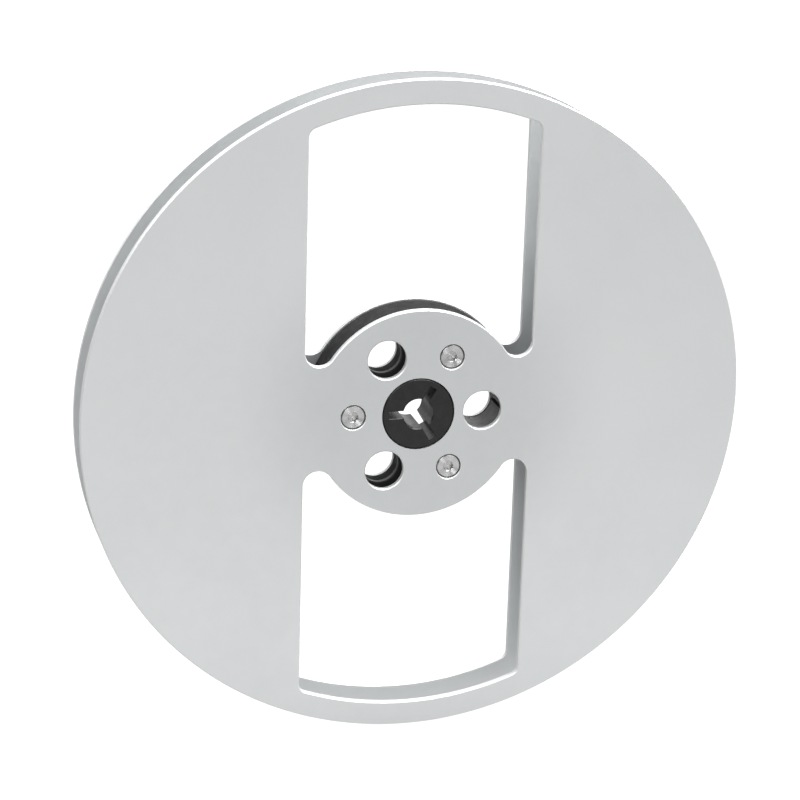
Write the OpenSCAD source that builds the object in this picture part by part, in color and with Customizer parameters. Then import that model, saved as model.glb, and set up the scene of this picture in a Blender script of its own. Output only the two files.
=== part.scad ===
// Seven-inch open-reel tape spool: two thin aluminium flanges screwed to a moulded hub.
// Reel axis along Y, front face towards -Y, +Z up, origin at the centre of the reel.

/* [Reel] */
// Outer diameter of both flanges
reel_d = 177.8; // [170:0.1:186]
// Clear width between the flanges, where the tape winds
tape_gap = 9; // [8:0.1:12]
// Thickness of each flange
flange_t = 1.5; // [1.2:0.1:2.5]
// Bright-cut edge break on the outer faces, on rims and round holes
edge_break = 0.3; // [0.1:0.05:0.5]

/* [Windows] */
// Width of each window
window_w = 61.3; // [58:0.1:70]
// Width of the rim left outside the windows
rim_w = 6.6; // [4:0.1:12]
// Radius of the round waist between the two windows
waist_r = 28.35; // [28.1:0.05:29]
// Radius of the window corners next to the rim
window_corner_r = 2.5; // [1:0.1:5]
// Radius of the round window ends beside the waist
window_end_r = 4; // [3:0.1:5]

/* [Hub] */
// Diameter of the drum that the tape winds on
drum_d = 56; // [54:0.5:56]
// Wall thickness of the drum
drum_wall = 2; // [1.5:0.1:3]
// Thickness of the web across the middle of the drum
web_t = 1.6; // [1.2:0.1:3]
// Thickness of the six radial ribs
rib_t = 1.4; // [1:0.1:2]
// Diameter of the circle that finger holes and screws stand on
hole_circle_d = 35; // [34:0.5:36]
// Finger hole through each flange
finger_hole_d = 10.4; // [8:0.1:10.6]
// Finger hole through the hub web
web_hole_d = 10.2; // [8:0.1:10.4]
// Bore of the hub tube that the tape end is pulled into
threading_bore_d = 10.8; // [10:0.1:11]
// Width of the slit that the tape end passes through
tape_slit_w = 1.2; // [0.8:0.1:2]

/* [Spindle insert] */
// Diameter of the insert where it shows in a flange
insert_d = 19.3; // [18:0.1:19.4]
// Diameter of the insert between the flanges
insert_collar_d = 20; // [19.8:0.1:20.2]
// Bore for the deck's spindle
spindle_bore_d = 8.1; // [8:0.05:8.4]
// Width of the three slots for the spindle's splines
spline_slot_w = 2; // [1.6:0.1:2]
// Reach of the spline slots from the axis
spline_slot_r = 8; // [6:0.1:8.2]

/* [Screws] */
// Mouth of the countersink in a flange
countersink_d = 7.2; // [6.8:0.1:7.4]
// Diameter of the screw head
screw_head_d = 6.2; // [5.8:0.1:6.4]
// Thread diameter
screw_d = 3; // [2.5:0.5:3.5]
// Screw length, from the head's face to the tip
screw_len = 5.4; // [4:0.1:5.6]
// Hex socket across its flats
hex_af = 2.5; // [2:0.5:3]
// Outer diameter of the threaded sleeves
sleeve_d = 5; // [4.6:0.1:5.4]

/* [Hidden] */
$fn = 96;
eps = 0.01;
reel_t = tape_gap + 2 * flange_t;
hole_circle_r = hole_circle_d / 2;
flange_bore_d = insert_d + 0.3;      // hole around the insert, so that its outline shows
hub_bore_wall = 1;                   // wall of the hub's centre tube
boss_wall = 1.5;                     // wall around a threaded sleeve or the threading bore
slit_cheek = 1.6;                    // material on each side of the tape slit
rib_recess = 0.4;                    // ribs stop short of the flanges
insert_chamfer = 0.35;
bore_chamfer = 0.3;
thread_gap = 0.02;                   // radial gap between a screw and its sleeve
head_sink = 0.2;                     // screw faces lie this far below the flange
head_land = 0.2;                     // straight edge of the screw head above its cone
hex_depth = 1.2;
hex_lead_in = 0.35;                  // chamfer at the mouth of the hex socket
FINGER_ANGLES = [0, 120, 240];       // the first is the threading hole
SCREW_ANGLES = [60, 180, 300];
SPOTS = ["upper", "left", "lower"];  // names of the three screw places

// ---- Placing ------------------------------------------------------------------------
// The sub-parts are drawn lying down, front face up, centred on the tape gap.

module upright() rotate([90, 0, 0]) children();

module at_hole_circle(angle) rotate(angle) translate([hole_circle_r, 0, 0]) children();

// Turns a front piece into the matching rear piece, which keeps its place on the hole circle
module to_rear(rear) {
    if (rear) mirror([0, 0, 1]) children();
    else children();
}

// ---- Flange -------------------------------------------------------------------------

// Points along an arc, both ends included
function arc(centre, r, from, to, steps) = [
    for (i = [0 : steps]) let (a = from + (to - from) * i / steps) centre + r * [cos(a), sin(a)]
];

// Outline of the upper window: straight sides, closed above by the rim's arc with rounded
// corners and below by the waist, beside which it runs down into two round ends
module window_outline() {
    half_w = window_w / 2;
    rim_r = reel_d / 2 - rim_w;
    corner_x = half_w - window_corner_r;
    corner_y = sqrt(pow(rim_r - window_corner_r, 2) - pow(corner_x, 2));
    corner_a = atan2(corner_y, corner_x);
    end_x = half_w - window_end_r;
    end_y = sqrt(pow(waist_r + window_end_r, 2) - pow(end_x, 2));
    end_a = atan2(end_y, end_x);
    polygon(concat(
        arc([corner_x, corner_y], window_corner_r, 0, corner_a, 6),
        arc([0, 0], rim_r, corner_a, 180 - corner_a, 20),
        arc([-corner_x, corner_y], window_corner_r, 180 - corner_a, 180, 6),
        arc([-end_x, end_y], window_end_r, 180, 360 - end_a, 12),
        arc([0, 0], waist_r, 180 - end_a, end_a, 32),
        arc([end_x, end_y], window_end_r, 180 + end_a, 360, 12)
    ));
}

// Round plate with its upper rim chamfered
module chamfered_disc(r, t, c) {
    rotate_extrude() polygon([[0, 0], [r, 0], [r, t - c], [r - c, t], [0, t]]);
}

// Round hole through a plate, opened out at its upper face
module chamfered_hole(r, t, c) {
    translate([0, 0, -eps]) cylinder(r = r, h = t + 2 * eps);
    translate([0, 0, t - c]) cylinder(r1 = r, r2 = r + c + eps, h = c + eps);
}

// Countersink cone and clearance hole, cut down from the top face of a plate
module countersunk_hole(t) {
    clearance_r = screw_d / 2 + 0.1;
    mouth_r = countersink_d / 2;
    translate([0, 0, t - (mouth_r - clearance_r)])
        cylinder(r1 = clearance_r, r2 = mouth_r, h = mouth_r - clearance_r);
    translate([0, 0, -eps]) cylinder(r = clearance_r, h = t + eps);
    translate([0, 0, t - eps]) cylinder(r = mouth_r, h = 1);
}

module flange(rear) {
    color("silver") upright() to_rear(rear) translate([0, 0, tape_gap / 2]) difference() {
        chamfered_disc(reel_d / 2, flange_t, edge_break);
        for (turn = [0, 180])
            rotate(turn) translate([0, 0, -1]) linear_extrude(flange_t + 2) window_outline();
        translate([0, 0, -1]) cylinder(d = flange_bore_d, h = flange_t + 2);
        for (a = FINGER_ANGLES) at_hole_circle(a) chamfered_hole(finger_hole_d / 2, flange_t, edge_break);
        for (a = SCREW_ANGLES) at_hole_circle(a) countersunk_hole(flange_t);
    }
}

// ---- Hub ----------------------------------------------------------------------------

module post(r, h) cylinder(r = r, h = h, center = true);

module hub_core() {
    drum_r = drum_d / 2;
    inner_r = drum_r - drum_wall;
    centre_r = insert_collar_d / 2 + hub_bore_wall;
    threading_r = threading_bore_d / 2 + boss_wall;
    color("#2b2b2b") upright() difference() {
        union() {
            difference() {
                post(drum_r, tape_gap);
                post(inner_r, tape_gap + 2);
            }
            difference() {
                post(inner_r + eps, web_t);
                for (a = [120, 240]) at_hole_circle(a) post(web_hole_d / 2, tape_gap);
            }
            post(centre_r, tape_gap);
            for (a = [30 : 60 : 330]) rotate(a)
                translate([(centre_r + inner_r) / 2, 0, 0])
                    cube([inner_r - centre_r + 1, rib_t, tape_gap - 2 * rib_recess], center = true);
            for (a = SCREW_ANGLES) at_hole_circle(a) post(sleeve_d / 2 + boss_wall, tape_gap);
            at_hole_circle(0) post(threading_r, tape_gap);
            translate([inner_r - 2, 0, 0])
                cube([5, tape_slit_w + 2 * slit_cheek, tape_gap], center = true);
        }
        post(insert_collar_d / 2, tape_gap + 2);
        at_hole_circle(0) post(threading_bore_d / 2, tape_gap + 2);
        translate([hole_circle_r, -tape_slit_w / 2, -tape_gap / 2 - 1])
            cube([drum_r, tape_slit_w, tape_gap + 2]);
        for (a = SCREW_ANGLES) at_hole_circle(a) post(sleeve_d / 2, tape_gap + 2);
    }
}

// Black bush in the middle: its collar is held between the flanges, its ends show in them
module spindle_insert() {
    end_r = insert_d / 2;
    collar_r = insert_collar_d / 2;
    half_t = reel_t / 2;
    half_gap = tape_gap / 2;
    bore_r = spindle_bore_d / 2;
    color("#242424") upright() difference() {
        rotate_extrude() polygon([
            [0, -half_t], [end_r - insert_chamfer, -half_t], [end_r, insert_chamfer - half_t],
            [end_r, -half_gap], [collar_r, -half_gap], [collar_r, half_gap], [end_r, half_gap],
            [end_r, half_t - insert_chamfer], [end_r - insert_chamfer, half_t], [0, half_t],
        ]);
        for (side = [0, 1]) mirror([0, 0, side]) chamfered_hole(bore_r, half_t, bore_chamfer);
        for (a = SCREW_ANGLES) rotate(a)
            translate([0, -spline_slot_w / 2, -half_t - 1])
                cube([spline_slot_r, spline_slot_w, reel_t + 2]);
    }
}

// ---- Fasteners ----------------------------------------------------------------------

module threaded_sleeve(angle) {
    color("goldenrod") upright() at_hole_circle(angle) difference() {
        post(sleeve_d / 2, tape_gap);
        post(screw_d / 2, tape_gap + 2);
        // each end is opened out for the tip of the screw's cone
        for (side = [0, 1]) mirror([0, 0, side])
            translate([0, 0, tape_gap / 2 - 0.5])
                cylinder(r1 = screw_d / 2, r2 = screw_d / 2 + 0.5 + eps, h = 0.5 + eps);
    }
}

// Countersunk socket-head screw, face up at the top of the reel
module screw(angle, rear) {
    head_r = screw_head_d / 2;
    shank_r = screw_d / 2 - thread_gap;
    face_z = reel_t / 2 - head_sink;
    cone_h = head_r - shank_r;
    hex_r = hex_af / sqrt(3);
    half_lead = hex_lead_in / 2;
    color("gainsboro") upright() to_rear(rear) at_hole_circle(angle)
        translate([0, 0, face_z]) difference() {
            rotate_extrude() polygon([
                [0, 0], [head_r - 0.1, 0], [head_r, -0.1], [head_r, -head_land],
                [shank_r, -head_land - cone_h], [shank_r, 0.2 - screw_len],
                [shank_r - 0.2, -screw_len], [0, -screw_len],
            ]);
            translate([0, 0, -hex_depth]) cylinder(r = hex_r, h = hex_depth + 1, $fn = 6);
            translate([0, 0, -hex_lead_in])
                cylinder(r1 = hex_r - half_lead, r2 = hex_r + half_lead + eps, h = hex_lead_in + eps);
        }
}

// ---- Parts --------------------------------------------------------------------------

flange(false);  // front_flange
flange(true);  // rear_flange
hub_core();
spindle_insert();
for (i = [0 : 2]) {
    screw(SCREW_ANGLES[i], false);
    screw(SCREW_ANGLES[i], true);
    threaded_sleeve(SCREW_ANGLES[i]);
}
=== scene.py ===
"""Looks of a seven-inch open-reel tape reel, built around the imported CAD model.

Units are metres. The reel's axis is Y, its front face is towards -Y and +Z is up. The flanges, hub,
spindle insert and screws are built here with fine edges, on the sizes that the CAD boxes give, and
stand for their CAD nodes. The threaded sleeves stay as CAD nodes.
"""
import math

import bmesh
import bpy
from mathutils import Matrix, Vector


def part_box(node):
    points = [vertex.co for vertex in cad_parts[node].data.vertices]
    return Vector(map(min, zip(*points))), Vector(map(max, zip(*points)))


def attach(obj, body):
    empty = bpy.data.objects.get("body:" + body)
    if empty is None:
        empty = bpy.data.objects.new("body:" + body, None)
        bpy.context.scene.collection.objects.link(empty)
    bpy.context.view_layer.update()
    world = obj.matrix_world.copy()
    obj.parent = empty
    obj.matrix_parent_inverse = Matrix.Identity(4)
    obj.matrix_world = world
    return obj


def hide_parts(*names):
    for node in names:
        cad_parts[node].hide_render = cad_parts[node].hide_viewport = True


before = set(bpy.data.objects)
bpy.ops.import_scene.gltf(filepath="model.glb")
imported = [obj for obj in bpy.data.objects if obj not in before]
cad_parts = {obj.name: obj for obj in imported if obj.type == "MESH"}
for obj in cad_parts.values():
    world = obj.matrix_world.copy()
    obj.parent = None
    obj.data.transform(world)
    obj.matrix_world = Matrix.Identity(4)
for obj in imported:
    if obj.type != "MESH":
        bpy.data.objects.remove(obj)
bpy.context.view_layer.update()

MM = 0.001

# Sizes that the CAD boxes give
reel_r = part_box("front_flange")[1].x
outer_y = -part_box("front_flange")[0].y          # a flange's outer face, from the middle of the reel
inner_y = -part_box("front_flange")[1].y          # its inner face
drum_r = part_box("hub_core")[1].x
collar_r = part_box("spindle_insert")[1].x
screw_low, screw_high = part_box("front_screw_left")
screw_head_r = (screw_high.x - screw_low.x) / 2
screw_face_y = -screw_low.y
screw_tip_y = -screw_high.y
hole_circle_r = -(screw_high.x + screw_low.x) / 2
sleeve_low, sleeve_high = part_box("threaded_sleeve_left")
sleeve_r = (sleeve_high.x - sleeve_low.x) / 2

# Flange
EDGE_BREAK = 0.3 * MM
INNER_BREAK = 0.05 * MM
WINDOW_HALF_W = 30.65 * MM
RIM_W = 6.6 * MM
WAIST_R = 28.35 * MM
CORNER_R = 2.5 * MM
END_R = 4.0 * MM
FINGER_R = 5.2 * MM
COUNTERSINK_R = 3.6 * MM
COUNTERSINK_MOUTH = 0.22 * MM                    # the bright-cut part of the countersink, above its gap, which is dark with painted shade
FLANGE_BORE_R = 9.8 * MM

# Hub
DRUM_WALL = 2.0 * MM
DRUM_EDGE = 0.25 * MM
WEB_T = 1.6 * MM
WEB_HOLE_R = 5.1 * MM
WEB_HOLE_EDGE = 0.2 * MM
RIB_T = 1.4 * MM
RIB_RECESS = 0.4 * MM
BORE_WALL = 1.0 * MM
BOSS_WALL = 1.5 * MM
THREADING_R = 5.4 * MM
SLIT_W = 1.2 * MM
SLIT_CHEEK = 1.6 * MM

# Spindle insert
INSERT_R = 9.65 * MM
INSERT_EDGE = 0.35 * MM
SPINDLE_R = 4.05 * MM
SPINDLE_EDGE = 0.3 * MM
SPLINE_W = 2.0 * MM
SPLINE_R = 8.0 * MM
SPLINE_EDGE = 0.12 * MM

# Screws
THREAD_R = 1.48 * MM
THREAD_DEPTH = 0.27 * MM
THREAD_PITCH = 0.5 * MM
HEAD_LAND = 0.3 * MM
HEAD_EDGE = 0.2 * MM
HEAD_DISH = 0.18 * MM
HEX_AF = 2.5 * MM
HEX_DEPTH = 1.2 * MM
HEX_LEAD_IN = 0.35 * MM
TURNING_RINGS = 12

FINGER_ANGLES = (0, 120, 240)                    # the first is the threading hole
SCREW_ANGLES = {"upper": 60, "left": 180, "lower": 300}
RIB_ANGLES = range(30, 360, 60)
FRONT, REAR = -1, 1

# Places of the materials in a piece's list
OUTER_FACE, BRIGHT_EDGE, SHADED_GAP, INNER_FACE = range(4)
DRUM_OUTSIDE = 1

# Building
OVER = 1 * MM                                    # how far a cutter reaches past what it cuts
EMBED = 0.5 * MM                                 # how far a rib or cheek reaches into its neighbours
MERGE = 1e-7
WELD = 2e-6                                      # merge distance after a combination
SHARP_ANGLE = math.radians(28)
RIM_STEPS = 360
DRUM_STEPS = 256
HUB_STEPS = 192
ROUND_STEPS = 128
HOLE_STEPS = 96
WINDOW_RIM_STEPS = 64
WINDOW_WAIST_STEPS = 96
WINDOW_END_STEPS = 32
WINDOW_CORNER_STEPS = 12
HEX_SIDES = 6


# ---- Meshes --------------------------------------------------------------------------------

def arc(x, z, r, start, end, steps):
    """Points of an arc in degrees, both ends included, as (x, z)."""
    turns = [math.radians(start + (end - start) * i / steps) for i in range(steps + 1)]
    return [(x + r * math.cos(t), z + r * math.sin(t)) for t in turns]


def circle(x, z, r, steps=ROUND_STEPS):
    return arc(x, z, r, 0, 360, steps)[:-1]


def on_hole_circle(angle):
    """Centre, as (x, z), of a hole at this angle on the circle that holes and screws stand on."""
    turn = math.radians(angle)
    return hole_circle_r * math.cos(turn), hole_circle_r * math.sin(turn)


def window(turn, grow):
    """Outline of a window, the upper one at turn 1 and the lower one at turn -1, moved out by grow."""
    rim_r = reel_r - RIM_W
    corner_x = WINDOW_HALF_W - CORNER_R
    corner_z = math.sqrt((rim_r - CORNER_R) ** 2 - corner_x ** 2)
    corner_a = math.degrees(math.atan2(corner_z, corner_x))
    end_x = WINDOW_HALF_W - END_R
    end_z = math.sqrt((WAIST_R + END_R) ** 2 - end_x ** 2)
    end_a = math.degrees(math.atan2(end_z, end_x))
    right_corner = arc(corner_x, corner_z, CORNER_R + grow, 0, corner_a, WINDOW_CORNER_STEPS)
    rim = arc(0, 0, rim_r + grow, corner_a, 180 - corner_a, WINDOW_RIM_STEPS)
    left_corner = arc(
        -corner_x, corner_z, CORNER_R + grow, 180 - corner_a, 180, WINDOW_CORNER_STEPS)
    left_end = arc(-end_x, end_z, END_R + grow, 180, 360 - end_a, WINDOW_END_STEPS)
    waist = arc(0, 0, WAIST_R - grow, 180 - end_a, end_a, WINDOW_WAIST_STEPS)
    right_end = arc(end_x, end_z, END_R + grow, 180 + end_a, 360, WINDOW_END_STEPS)
    outline = right_corner + rim[1:] + left_corner[1:] + left_end + waist[1:] + right_end[1:]
    return [(turn * x, turn * z) for x, z in outline]


def add_ring(bm, outline, y):
    return [bm.verts.new((x, y, z)) for x, z in outline]


def add_wall(bm, ring, next_ring, material=0):
    count = len(ring)
    for i in range(count):
        j = (i + 1) % count
        face = bm.faces.new((ring[i], ring[j], next_ring[j], next_ring[i]))
        face.material_index = material


def add_flat(bm, rings, material=0):
    """Flat face between the first ring and the others, which are holes in it."""
    edges = [bm.edges.get((r[i - 1], r[i])) for r in rings for i in range(len(r))]
    filled = bmesh.ops.triangle_fill(bm, edges=edges, use_beauty=True, use_dissolve=False)
    for part in filled["geom"]:
        if isinstance(part, bmesh.types.BMFace):
            part.material_index = material


def smooth_faces(bm):
    """Smooth faces, with sharp edges where they meet at SHARP_ANGLE or more."""
    for face in bm.faces:
        face.smooth = True
    for edge in bm.edges:
        edge.smooth = edge.is_manifold and edge.calc_face_angle() < SHARP_ANGLE


def finish_mesh(bm, name):
    """Makes the object, with outward normals, smooth faces and sharp edges."""
    bmesh.ops.remove_doubles(bm, verts=bm.verts, dist=MERGE)
    bmesh.ops.recalc_face_normals(bm, faces=bm.faces)
    smooth_faces(bm)
    mesh = bpy.data.meshes.new(name)
    bm.to_mesh(mesh)
    bm.free()
    obj = bpy.data.objects.new(name, mesh)
    bpy.context.scene.collection.objects.link(obj)
    return obj


def lathe(name, profile, x=0.0, z=0.0, steps=ROUND_STEPS):
    """Solid turned about a line along Y through (x, z). profile runs as (radius, y) from axis to axis."""
    bm = bmesh.new()
    rings = [add_ring(bm, circle(x, z, r, steps), y) for r, y in profile if r > 0]
    for ring, next_ring in zip(rings, rings[1:]):
        add_wall(bm, ring, next_ring)
    bm.faces.new(rings[0])
    bm.faces.new(rings[-1])
    return finish_mesh(bm, name)


def rod(name, x, z, r, half_length, edge=0.0, steps=HOLE_STEPS):
    """Round bar along Y, centred on the reel's middle plane, with its ends' edges broken."""
    body = [(r, -half_length + edge), (r, half_length - edge)]
    if edge:
        body = [(r - edge, -half_length)] + body + [(r - edge, half_length)]
    return lathe(name, body, x, z, steps)


def flared_cutter(name, x, z, r, half_length, edge, steps=ROUND_STEPS):
    """Cutter for a hole along Y whose mouths, half_length from the middle, are opened out by edge."""
    half = [(r + edge + OVER, half_length + OVER), (r, half_length - edge)]
    return lathe(name, [(a, -y) for a, y in half] + half[::-1], x, z, steps)


def block(name, low, high, turn=0.0):
    """Box from corner to corner, turned about the reel's axis by an angle in degrees."""
    bm = bmesh.new()
    bmesh.ops.create_cube(bm, size=1)
    low, high = Vector(low), Vector(high)
    size = Matrix.Diagonal(high - low).to_4x4()
    spin = Matrix.Rotation(math.radians(-turn), 4, "Y")
    bm.transform(spin @ Matrix.Translation((low + high) / 2) @ size)
    return finish_mesh(bm, name)


def combine(body, tools, operation):
    """Unites tools with body, or cuts them from it, and removes them."""
    group = bpy.data.collections.new("tools")
    bpy.context.scene.collection.children.link(group)
    for tool in tools:
        group.objects.link(tool)
    step = body.modifiers.new("combine", "BOOLEAN")
    step.operation = operation
    step.operand_type = "COLLECTION"
    step.collection = group
    step.solver = "EXACT"
    step.use_self = operation == "UNION"
    shaped = bpy.data.meshes.new_from_object(body.evaluated_get(bpy.context.evaluated_depsgraph_get()))
    body.modifiers.remove(step)
    body.data = shaped
    for tool in tools:
        bpy.data.objects.remove(tool)
    bpy.data.collections.remove(group)


def tidy_edges(body):
    """Cleans a combined body, and marks its sharp edges again."""
    bm = bmesh.new()
    bm.from_mesh(body.data)
    bmesh.ops.remove_doubles(bm, verts=bm.verts, dist=WELD)
    bmesh.ops.dissolve_degenerate(bm, edges=bm.edges, dist=WELD)
    smooth_faces(bm)
    bm.to_mesh(body.data)
    bm.free()


# ---- Pieces --------------------------------------------------------------------------------

def make_flange(name, side):
    """A flange. Its materials: satin outer face, bright-cut edges, gaps at the screws dark with painted
    shade, and a lighter inner face and walls that paint in light.
    """
    bm = bmesh.new()
    outer, inner = side * outer_y, side * inner_y

    def cut(outline_at):
        """Wall of the rim or of a hole, with both edges broken. Gives its rings in the two faces."""
        rings = [
            add_ring(bm, outline_at(EDGE_BREAK), outer),
            add_ring(bm, outline_at(0), outer - side * EDGE_BREAK),
            add_ring(bm, outline_at(0), inner + side * INNER_BREAK),
            add_ring(bm, outline_at(INNER_BREAK), inner),
        ]
        add_wall(bm, rings[0], rings[1], BRIGHT_EDGE)
        add_wall(bm, rings[1], rings[2], INNER_FACE)
        add_wall(bm, rings[2], rings[3], BRIGHT_EDGE)
        return rings[0], rings[3]

    loops = [cut(lambda grow: circle(0, 0, reel_r - grow, RIM_STEPS))]
    loops += [cut(lambda grow, turn=turn: window(turn, grow)) for turn in (1, -1)]
    for angle in FINGER_ANGLES:
        x, z = on_hole_circle(angle)
        loops.append(cut(lambda grow: circle(x, z, FINGER_R + grow, HOLE_STEPS)))
    for angle in SCREW_ANGLES.values():
        x, z = on_hole_circle(angle)
        mouth, gap, throat = (
            add_ring(bm, circle(x, z, COUNTERSINK_R - depth, HOLE_STEPS), side * (outer_y - depth))
            for depth in (0, COUNTERSINK_MOUTH, outer_y - inner_y)
        )
        # Below its bright mouth, the countersink is dark with painted shade round the screw head.
        add_wall(bm, mouth, gap, BRIGHT_EDGE)
        add_wall(bm, gap, throat, SHADED_GAP)
        loops.append((mouth, throat))
    mouth = add_ring(bm, circle(0, 0, FLANGE_BORE_R), outer)
    throat = add_ring(bm, circle(0, 0, FLANGE_BORE_R), inner)
    add_wall(bm, mouth, throat, OUTER_FACE)
    loops.append((mouth, throat))
    add_flat(bm, [outer_ring for outer_ring, inner_ring in loops], OUTER_FACE)
    add_flat(bm, [inner_ring for outer_ring, inner_ring in loops], INNER_FACE)
    return finish_mesh(bm, name)


def make_hub():
    """The drum with its web, ribs, bosses, threading tube and slit."""
    inner_r = drum_r - DRUM_WALL
    tube_r = collar_r + BORE_WALL
    thread_x, thread_z = on_hole_circle(FINGER_ANGLES[0])
    hub = rod("hub", 0, 0, drum_r, inner_y, DRUM_EDGE, DRUM_STEPS)
    pockets = []
    for side in (FRONT, REAR):
        low, high = sorted((side * WEB_T / 2, side * (inner_y + OVER)))
        pockets.append(lathe("pocket", [(inner_r, low), (inner_r, high)], steps=HUB_STEPS))
    combine(hub, pockets, "DIFFERENCE")
    posts = [
        rod("tube", 0, 0, tube_r, inner_y),
        rod("threading", thread_x, thread_z, THREADING_R + BOSS_WALL, inner_y),
    ]
    for angle in SCREW_ANGLES.values():
        posts.append(rod("boss", *on_hole_circle(angle), sleeve_r + BOSS_WALL, inner_y))
    rib_y = inner_y - RIB_RECESS
    rib_low = (tube_r - EMBED, -rib_y, -RIB_T / 2)
    rib_high = (inner_r + EMBED, rib_y, RIB_T / 2)
    for angle in RIB_ANGLES:
        posts.append(block("rib", rib_low, rib_high, angle))
    cheek_z = SLIT_W / 2 + SLIT_CHEEK
    cheeks_low = (thread_x + THREADING_R, -inner_y, -cheek_z)
    cheeks_high = (inner_r + EMBED, inner_y, cheek_z)
    posts.append(block("cheeks", cheeks_low, cheeks_high))
    combine(hub, posts, "UNION")
    over_y = inner_y + OVER
    slit_low = (thread_x, -over_y, -SLIT_W / 2)
    slit_high = (drum_r + OVER, over_y, SLIT_W / 2)
    cutters = [
        rod("bore", 0, 0, collar_r, over_y),
        rod("threading_bore", thread_x, thread_z, THREADING_R, over_y),
        block("slit", slit_low, slit_high),
    ]
    for angle in SCREW_ANGLES.values():
        cutters.append(rod("sleeve_bore", *on_hole_circle(angle), sleeve_r, over_y))
    for angle in FINGER_ANGLES[1:]:
        x, z = on_hole_circle(angle)
        cutters.append(flared_cutter("web_hole", x, z, WEB_HOLE_R, WEB_T / 2, WEB_HOLE_EDGE))
    combine(hub, cutters, "DIFFERENCE")
    tidy_edges(hub)
    for face in hub.data.polygons:
        if math.hypot(face.center.x, face.center.z) > drum_r - DRUM_EDGE:
            face.material_index = DRUM_OUTSIDE
    return hub


def make_insert():
    """The bush in the middle, with its collar, bore and three spline slots."""
    half = [
        (collar_r, inner_y), (INSERT_R, inner_y),
        (INSERT_R, outer_y - INSERT_EDGE), (INSERT_R - INSERT_EDGE, outer_y),
    ]
    insert = lathe("insert", [(r, -y) for r, y in half[::-1]] + half, steps=HUB_STEPS)
    cutters = [flared_cutter("bore", 0, 0, SPINDLE_R, outer_y, SPINDLE_EDGE)]
    for angle in SCREW_ANGLES.values():
        cutters.append(slot_cutter(angle))
    combine(insert, cutters, "DIFFERENCE")
    tidy_edges(insert)
    return insert


def slot_cutter(angle):
    """Cutter for a spline slot, as wide as the slot and opened out a little at both faces."""
    half_w = SPLINE_W / 2
    side = [
        (half_w + SPLINE_EDGE + OVER, -outer_y - OVER), (half_w, -outer_y + SPLINE_EDGE),
        (half_w, outer_y - SPLINE_EDGE), (half_w + SPLINE_EDGE + OVER, outer_y + OVER),
    ]
    outline = side + [(-w, y) for w, y in side[::-1]]
    bm = bmesh.new()
    near = [bm.verts.new((0, y, w)) for w, y in outline]
    far = [bm.verts.new((SPLINE_R, y, w)) for w, y in outline]
    add_wall(bm, near, far)
    bm.faces.new(near)
    bm.faces.new(far)
    bm.transform(Matrix.Rotation(math.radians(-angle), 4, "Y"))
    return finish_mesh(bm, "slot")


def make_screw(name, angle, side):
    """A countersunk socket-head screw with a threaded shank."""
    x, z = on_hole_circle(angle)
    cone = screw_head_r - THREAD_R
    profile = [
        (HEX_AF / 2, screw_face_y - HEAD_DISH), (screw_head_r - HEAD_EDGE, screw_face_y),
        (screw_head_r, screw_face_y - HEAD_EDGE), (screw_head_r, screw_face_y - HEAD_LAND),
        (THREAD_R, screw_face_y - HEAD_LAND - cone),
    ]
    y = profile[-1][1] - THREAD_PITCH
    while y > screw_tip_y + THREAD_PITCH:
        profile += [(THREAD_R, y), (THREAD_R - THREAD_DEPTH, y - THREAD_PITCH / 2)]
        y -= THREAD_PITCH
    profile += [(THREAD_R, y), (THREAD_R - THREAD_DEPTH, screw_tip_y)]
    screw = lathe(name, [(r, side * y) for r, y in profile], x, z, HOLE_STEPS)
    floor, top = sorted((side * (screw_face_y - HEX_DEPTH), side * (screw_face_y + OVER)))
    hex_r = HEX_AF / math.sqrt(3)
    socket = lathe("socket", [(hex_r, floor), (hex_r, top)], x, z, HEX_SIDES)
    lead_in = [
        (hex_r - HEX_LEAD_IN / 2, screw_face_y - HEX_LEAD_IN),
        (hex_r + HEX_LEAD_IN / 2, screw_face_y), (hex_r + HEX_LEAD_IN / 2, screw_face_y + OVER),
    ]
    mouth = lathe("mouth", [(r, side * y) for r, y in lead_in], x, z, HOLE_STEPS)
    combine(screw, [socket, mouth], "DIFFERENCE")
    tidy_edges(screw)
    return screw


# ---- Materials -----------------------------------------------------------------------------

NOISE_SPAN = (0.3, 0.7)                          # the middle of the noise, stretched over its range
AXIS_SHADE_SPAN = (0.8 * drum_r, 2 * drum_r)        # from full painted shade near the axis to none
UNSHADED_SHARE = 0.85


def material(name, color, metallic, roughness, **sockets):
    """A Principled material, with the numbers that are the same all over on its own sockets."""
    made = bpy.data.materials.new(name)
    made.use_nodes = True
    shader = made.node_tree.nodes["Principled BSDF"]
    shader.inputs["Base Color"].default_value = (*color, 1)
    shader.inputs["Metallic"].default_value = metallic
    shader.inputs["Roughness"].default_value = roughness
    for socket, value in sockets.items():
        shader.inputs[socket.replace("_", " ")].default_value = value
    return made


def graded(tree, source, start, end, low, high):
    """A number that goes smoothly from low to high as source goes from start to end."""
    remap = tree.nodes.new("ShaderNodeMapRange")
    remap.interpolation_type = "SMOOTHSTEP"
    remap.inputs["From Min"].default_value = start
    remap.inputs["From Max"].default_value = end
    remap.inputs["To Min"].default_value = low
    remap.inputs["To Max"].default_value = high
    tree.links.new(source, remap.inputs["Value"])
    return remap.outputs["Result"]


def total(tree, *values):
    """The sum of several numbers."""
    result = values[0]
    for value in values[1:]:
        add = tree.nodes.new("ShaderNodeMath")
        tree.links.new(result, add.inputs[0])
        tree.links.new(value, add.inputs[1])
        result = add.outputs["Value"]
    return result


def noise(made, scale, detail=3.0, low=0.0, high=1.0):
    """Noise in the object's own space, from low to high. scale is in cycles per metre."""
    tree = made.node_tree
    texture = tree.nodes.new("ShaderNodeTexNoise")
    texture.inputs["Scale"].default_value = scale
    texture.inputs["Detail"].default_value = detail
    tree.links.new(tree.nodes.new("ShaderNodeTexCoord").outputs["Object"], texture.inputs["Vector"])
    return graded(tree, texture.outputs["Fac"], *NOISE_SPAN, low, high)


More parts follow.
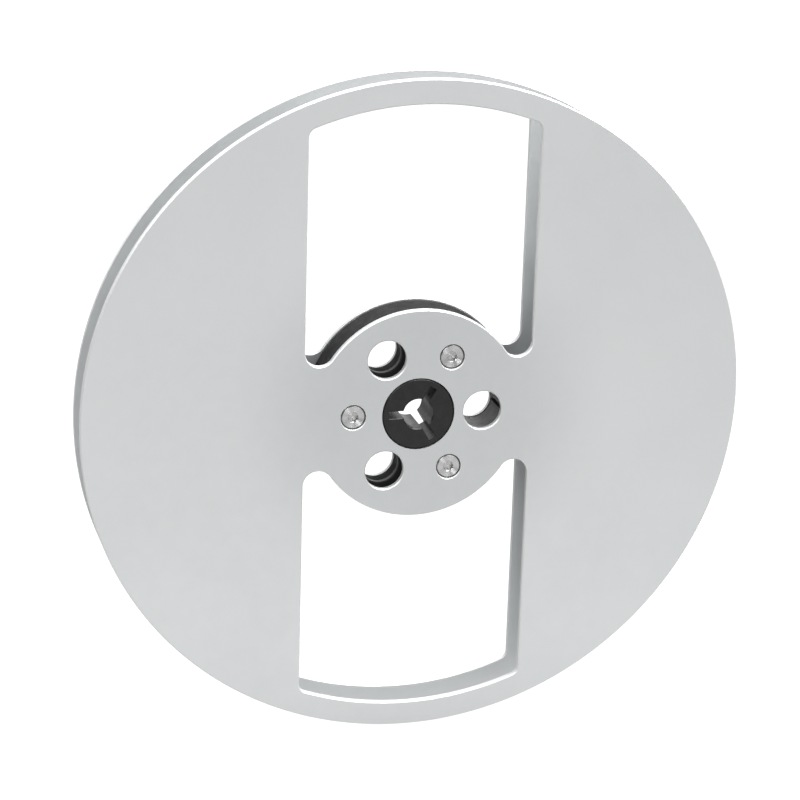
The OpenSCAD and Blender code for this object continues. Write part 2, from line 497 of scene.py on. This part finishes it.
def vary(made, socket, source):
    """Drives a socket of the material's shader by source."""
    made.node_tree.links.new(source, made.node_tree.nodes["Principled BSDF"].inputs[socket])


def tint(made, source, dark, light):
    """Varies the base colour from dark to light as source goes from 0 to 1."""
    ramp = made.node_tree.nodes.new("ShaderNodeValToRGB")
    ramp.color_ramp.elements[0].color = (*dark, 1)
    ramp.color_ramp.elements[1].color = (*light, 1)
    made.node_tree.links.new(source, ramp.inputs["Fac"])
    vary(made, "Base Color", ramp.outputs["Color"])


def relief(made, source, depth, strength=1.0):
    """Bumps the surface by source. depth is in metres."""
    nodes, links = made.node_tree.nodes, made.node_tree.links
    bump = nodes.new("ShaderNodeBump")
    bump.inputs["Strength"].default_value = strength
    bump.inputs["Distance"].default_value = depth
    links.new(source, bump.inputs["Height"])
    links.new(bump.outputs["Normal"], nodes["Principled BSDF"].inputs["Normal"])


def shade(value, warmth=0.0):
    """A grey, a little warmer or cooler."""
    return (value * (1 + warmth), value, value * (1 - warmth / 4))


def axis_shade_mask(made):
    """0 near the reel's axis, where the flange's tone takes painted shade, and the unshaded share away from
    it.
    """
    tree = made.node_tree
    reach = tree.nodes.new("ShaderNodeVectorMath")
    reach.operation = "LENGTH"
    tree.links.new(tree.nodes.new("ShaderNodeTexCoord").outputs["Object"], reach.inputs[0])
    return graded(tree, reach.outputs["Value"], *AXIS_SHADE_SPAN, 0, UNSHADED_SHARE)


def satin_aluminium(name, axis_shaded_tone, unshaded_tone):
    made = material(name, shade(unshaded_tone), metallic=1.0, roughness=0.65)
    # Painted shade: the tone darkens towards the axis; the noise over it is the metal's own uneven tone.
    tone = total(made.node_tree, axis_shade_mask(made), noise(made, 28, 2, 0, 0.15))
    tint(made, tone, shade(axis_shaded_tone, -0.022), shade(unshaded_tone, -0.018))
    vary(made, "Roughness", noise(made, 160, 4, 0.62, 0.68))
    relief(made, noise(made, 5200, 2), 0.004 * MM, 0.6)
    return made


def bright_cut():
    made = material("bright_cut_aluminium", shade(0.78), metallic=1.0, roughness=0.55)
    vary(made, "Roughness", noise(made, 900, 3, 0.5, 0.6))
    return made


# Dark metal for the countersink gaps round the screw heads: painted shade, with an uneven tone.
def gap_shade_aluminium():
    made = material("gap_shade_aluminium", shade(0.13), metallic=1.0, roughness=0.6)
    tint(made, noise(made, 1500, 4), shade(0.08), shade(0.18))
    vary(made, "Roughness", noise(made, 2500, 3, 0.5, 0.7))
    return made


def hub_plastic():
    made = material("hub_plastic", shade(0.045), metallic=0.0, roughness=0.45)
    tint(made, noise(made, 300, 4), shade(0.038), shade(0.05))
    vary(made, "Roughness", noise(made, 700, 4, 0.38, 0.5))
    relief(made, noise(made, 3500, 4), 0.004 * MM, 0.5)
    return made


def drum_texture():
    """The hub's matt outer surface, which the tape winds on."""
    made = material("drum_texture", shade(0.035), metallic=0.0, roughness=0.9, Specular_IOR_Level=0.0)
    tint(made, noise(made, 500, 4), shade(0.03), shade(0.04))
    vary(made, "Roughness", noise(made, 900, 4, 0.8, 0.95))
    relief(made, noise(made, 6000, 3), 0.01 * MM, 0.6)
    return made


def insert_plastic():
    made = material("insert_plastic", shade(0.008), metallic=0.0, roughness=0.3, Specular_IOR_Level=0.42)
    tint(made, noise(made, 400, 4), shade(0.006), shade(0.01))
    vary(made, "Roughness", noise(made, 900, 4, 0.26, 0.36))
    relief(made, noise(made, 4500, 4), 0.003 * MM, 0.5)
    return made


def turned_steel():
    """Steel turned on a lathe: its grooves run round each screw's own axis and stretch the highlights."""
    made = material("turned_steel", shade(0.6), metallic=1.0, roughness=0.3, Anisotropic=1.0,
                    Anisotropic_Rotation=0.25)
    nodes, links = made.node_tree.nodes, made.node_tree.links
    tangent = nodes.new("ShaderNodeTangent")
    tangent.direction_type = "RADIAL"
    tangent.axis = "Y"
    links.new(tangent.outputs["Tangent"], nodes["Principled BSDF"].inputs["Tangent"])
    centred = nodes.new("ShaderNodeVectorMath")
    centred.inputs[1].default_value = (-0.5, -0.5, -0.5)
    links.new(nodes.new("ShaderNodeTexCoord").outputs["Generated"], centred.inputs[0])
    grooves = nodes.new("ShaderNodeTexWave")
    grooves.wave_type = "RINGS"
    grooves.rings_direction = "Y"
    grooves.inputs["Scale"].default_value = TURNING_RINGS
    links.new(centred.outputs["Vector"], grooves.inputs["Vector"])
    relief(made, grooves.outputs["Fac"], 0.005 * MM, 0.5)
    vary(made, "Roughness", noise(made, 2500, 3, 0.26, 0.34))
    return made


def turned_brass():
    made = material("turned_brass", (0.72, 0.5, 0.22), metallic=1.0, roughness=0.3)
    vary(made, "Roughness", noise(made, 2000, 3, 0.25, 0.4))
    return made


# ---- Assembly ------------------------------------------------------------------------------

def dress(piece, slot, *materials):
    """Gives a piece its materials. Clearing its list resets its faces' indices, so they are put back."""
    indices = [face.material_index for face in piece.data.polygons]
    piece.data.materials.clear()
    for made in materials:
        piece.data.materials.append(made)
    piece.data.polygons.foreach_set("material_index", indices)


def place(piece, node):
    """Puts a piece in the reel in place of its CAD node."""
    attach(piece, "root")
    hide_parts(node)


# The second copy is lighter: it paints in light on the inner faces and on the walls of the rim and holes,
# in the shaded gap between the flanges.
SATIN, LIT_INNER = (
    satin_aluminium("satin_aluminium", 0.635, 0.735), satin_aluminium("lit_inner_aluminium", 0.64, 0.79),
)
CUT, GAP_SHADE = bright_cut(), gap_shade_aluminium()
HUB, DRUM, INSERT = hub_plastic(), drum_texture(), insert_plastic()
STEEL, BRASS = turned_steel(), turned_brass()

for side_name, side in (("front", FRONT), ("rear", REAR)):
    flange = make_flange(f"{side_name}_flange_plate", side)
    dress(flange, "satin_aluminium", SATIN, CUT, GAP_SHADE, LIT_INNER)
    place(flange, f"{side_name}_flange")
    for spot, angle in SCREW_ANGLES.items():
        screw = make_screw(f"{side_name}_screw_{spot}_turned", angle, side)
        dress(screw, "screw_steel", STEEL)
        place(screw, f"{side_name}_screw_{spot}")

hub = make_hub()
hub.name = "hub_core_moulding"
dress(hub, "hub_plastic", HUB, DRUM)
place(hub, "hub_core")

insert = make_insert()
insert.name = "spindle_insert_bush"
dress(insert, "insert_plastic", INSERT)
place(insert, "spindle_insert")

for spot in SCREW_ANGLES:
    dress(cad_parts[f"threaded_sleeve_{spot}"], "brass", BRASS)


# ---- Stage ---------------------------------------------------------------------------------

FLOOR_SIZE = 12
FLOOR_GLOW = 0.95
FLOOR_DIFFUSE = 0.12
BOUNCE_GLOW = (0.24, 1.0)                        # far in front of the reel, and close to it
BOUNCE_SHADE = -0.56                             # added behind the reel's front face
BOUNCE_GLOW_SPAN = (-0.7, -0.05)                 # where each changes, along Y
BOUNCE_SHADE_SPAN = (-0.04, 0.04)
BOUNCE_DROP = 1 * MM                             # below the shown floor
WORLD_BACK = 0.7
WORLD_BACK_SPAN = (-0.7, 0.7)                    # along Y, from in front to behind
WORLD_RIGHT = 0.81
WORLD_RIGHT_SPAN = (-0.9, 0.9)                   # along X
SOFTBOXES = {                                    # place, size, and power in watts
    "top_softbox": ((0.3, 0.0, 0.9), 0.7, 16),
    "left_softbox": ((-0.65, 0.0, 0.65), 0.7, 3.4),
    "front_left_softbox": ((-0.55, -0.5, 0.6), 0.6, 2.5),
    "front_right_softbox": ((0.55, -0.5, 0.6), 0.7, 2.2),
    "front_lamp": ((-0.01, -0.7, -0.085), 0.17, 0.5),
}
CAMERA_AZIMUTH = -15.53                          # degrees, from straight in front
CAMERA_ELEVATION = 18.54
CAMERA_ROLL = 1.755
CAMERA_DISTANCE = 706.35 * MM
CAMERA_TARGET = Vector((-3.446, 0, 2.059)) * MM
CAMERA_SENSOR = 36                               # millimetres, as is the lens
CAMERA_LENS = 120.9
CAMERA_NEAR = 0.01


def make_plane(name, z, color, seen):
    """A large level plane: seen by the camera, or by what reflects and scatters light."""
    bpy.ops.mesh.primitive_plane_add(size=FLOOR_SIZE, location=(0, 0, z))
    plane = bpy.context.object
    plane.name = name
    plane.visible_camera = seen
    plane.visible_diffuse = plane.visible_glossy = not seen
    made = material(name, color, metallic=0.0, roughness=0.9, Specular_IOR_Level=0.0)
    made.node_tree.nodes["Principled BSDF"].inputs["Emission Color"].default_value = (1, 1, 1, 1)
    plane.data.materials.append(made)
    return made.node_tree


def make_floor():
    """A pale floor that glows, so that shadows on it stay faint, and a dimmer one that lights the reel."""
    shown = make_plane("floor", -reel_r, shade(FLOOR_DIFFUSE), seen=True)
    shown.nodes["Principled BSDF"].inputs["Emission Strength"].default_value = FLOOR_GLOW
    bounce = make_plane("bounce", -reel_r - BOUNCE_DROP, shade(0), seen=False)
    axes = bounce.nodes.new("ShaderNodeSeparateXYZ")
    bounce.links.new(bounce.nodes.new("ShaderNodeTexCoord").outputs["Object"], axes.inputs["Vector"])
    glow = total(
        bounce,
        graded(bounce, axes.outputs["Y"], *BOUNCE_GLOW_SPAN, *BOUNCE_GLOW),
        graded(bounce, axes.outputs["Y"], *BOUNCE_SHADE_SPAN, 0, BOUNCE_SHADE),
    )
    bounce.links.new(glow, bounce.nodes["Principled BSDF"].inputs["Emission Strength"])


def make_world():
    """Surroundings that are pale behind the reel and to its right, and dark in front of it."""
    world = bpy.data.worlds.new("studio")
    bpy.context.scene.world = world
    world.use_nodes = True
    tree = world.node_tree
    axes = tree.nodes.new("ShaderNodeSeparateXYZ")
    tree.links.new(tree.nodes.new("ShaderNodeTexCoord").outputs["Generated"], axes.inputs["Vector"])
    strength = total(
        tree,
        graded(tree, axes.outputs["Y"], *WORLD_BACK_SPAN, 0, WORLD_BACK),
        graded(tree, axes.outputs["X"], *WORLD_RIGHT_SPAN, 0, WORLD_RIGHT),
    )
    background = tree.nodes["Background"]
    background.inputs["Color"].default_value = (1, 1, 1, 1)
    tree.links.new(strength, background.inputs["Strength"])


def make_softbox(name, spot, size, power):
    """A square soft light that faces the reel."""
    light = bpy.data.lights.new(name, "AREA")
    light.shape = "SQUARE"
    light.size = size
    light.energy = power
    box = bpy.data.objects.new(name, light)
    box.location = spot
    box.rotation_euler = Vector(spot).to_track_quat("Z", "Y").to_euler()
    bpy.context.scene.collection.objects.link(box)


def make_camera():
    """Camera a little to the left of the reel and above it."""
    azimuth, elevation, roll = (
        math.radians(angle) for angle in (CAMERA_AZIMUTH, CAMERA_ELEVATION, CAMERA_ROLL)
    )
    back = Vector((
        math.sin(azimuth) * math.cos(elevation),
        -math.cos(azimuth) * math.cos(elevation),
        math.sin(elevation),
    ))
    level_right = Vector((0, 0, 1)).cross(back).normalized()
    level_up = back.cross(level_right)
    right = math.cos(roll) * level_right + math.sin(roll) * level_up
    up = back.cross(right)
    camera = bpy.data.objects.new("camera", bpy.data.cameras.new("camera"))
    bpy.context.scene.collection.objects.link(camera)
    spot = Matrix.Translation(CAMERA_TARGET + CAMERA_DISTANCE * back)
    facing = Matrix((right, up, back)).transposed().to_4x4()
    camera.matrix_world = spot @ facing
    camera.data.sensor_width = CAMERA_SENSOR
    camera.data.lens = CAMERA_LENS
    camera.data.clip_start = CAMERA_NEAR
    bpy.context.scene.camera = camera


make_floor()
make_world()
for softbox, (spot, size, power) in SOFTBOXES.items():
    make_softbox(softbox, spot, size, power)
make_camera()
bpy.context.scene.view_settings.view_transform = "Standard"
bpy.context.scene.view_settings.look = "None"
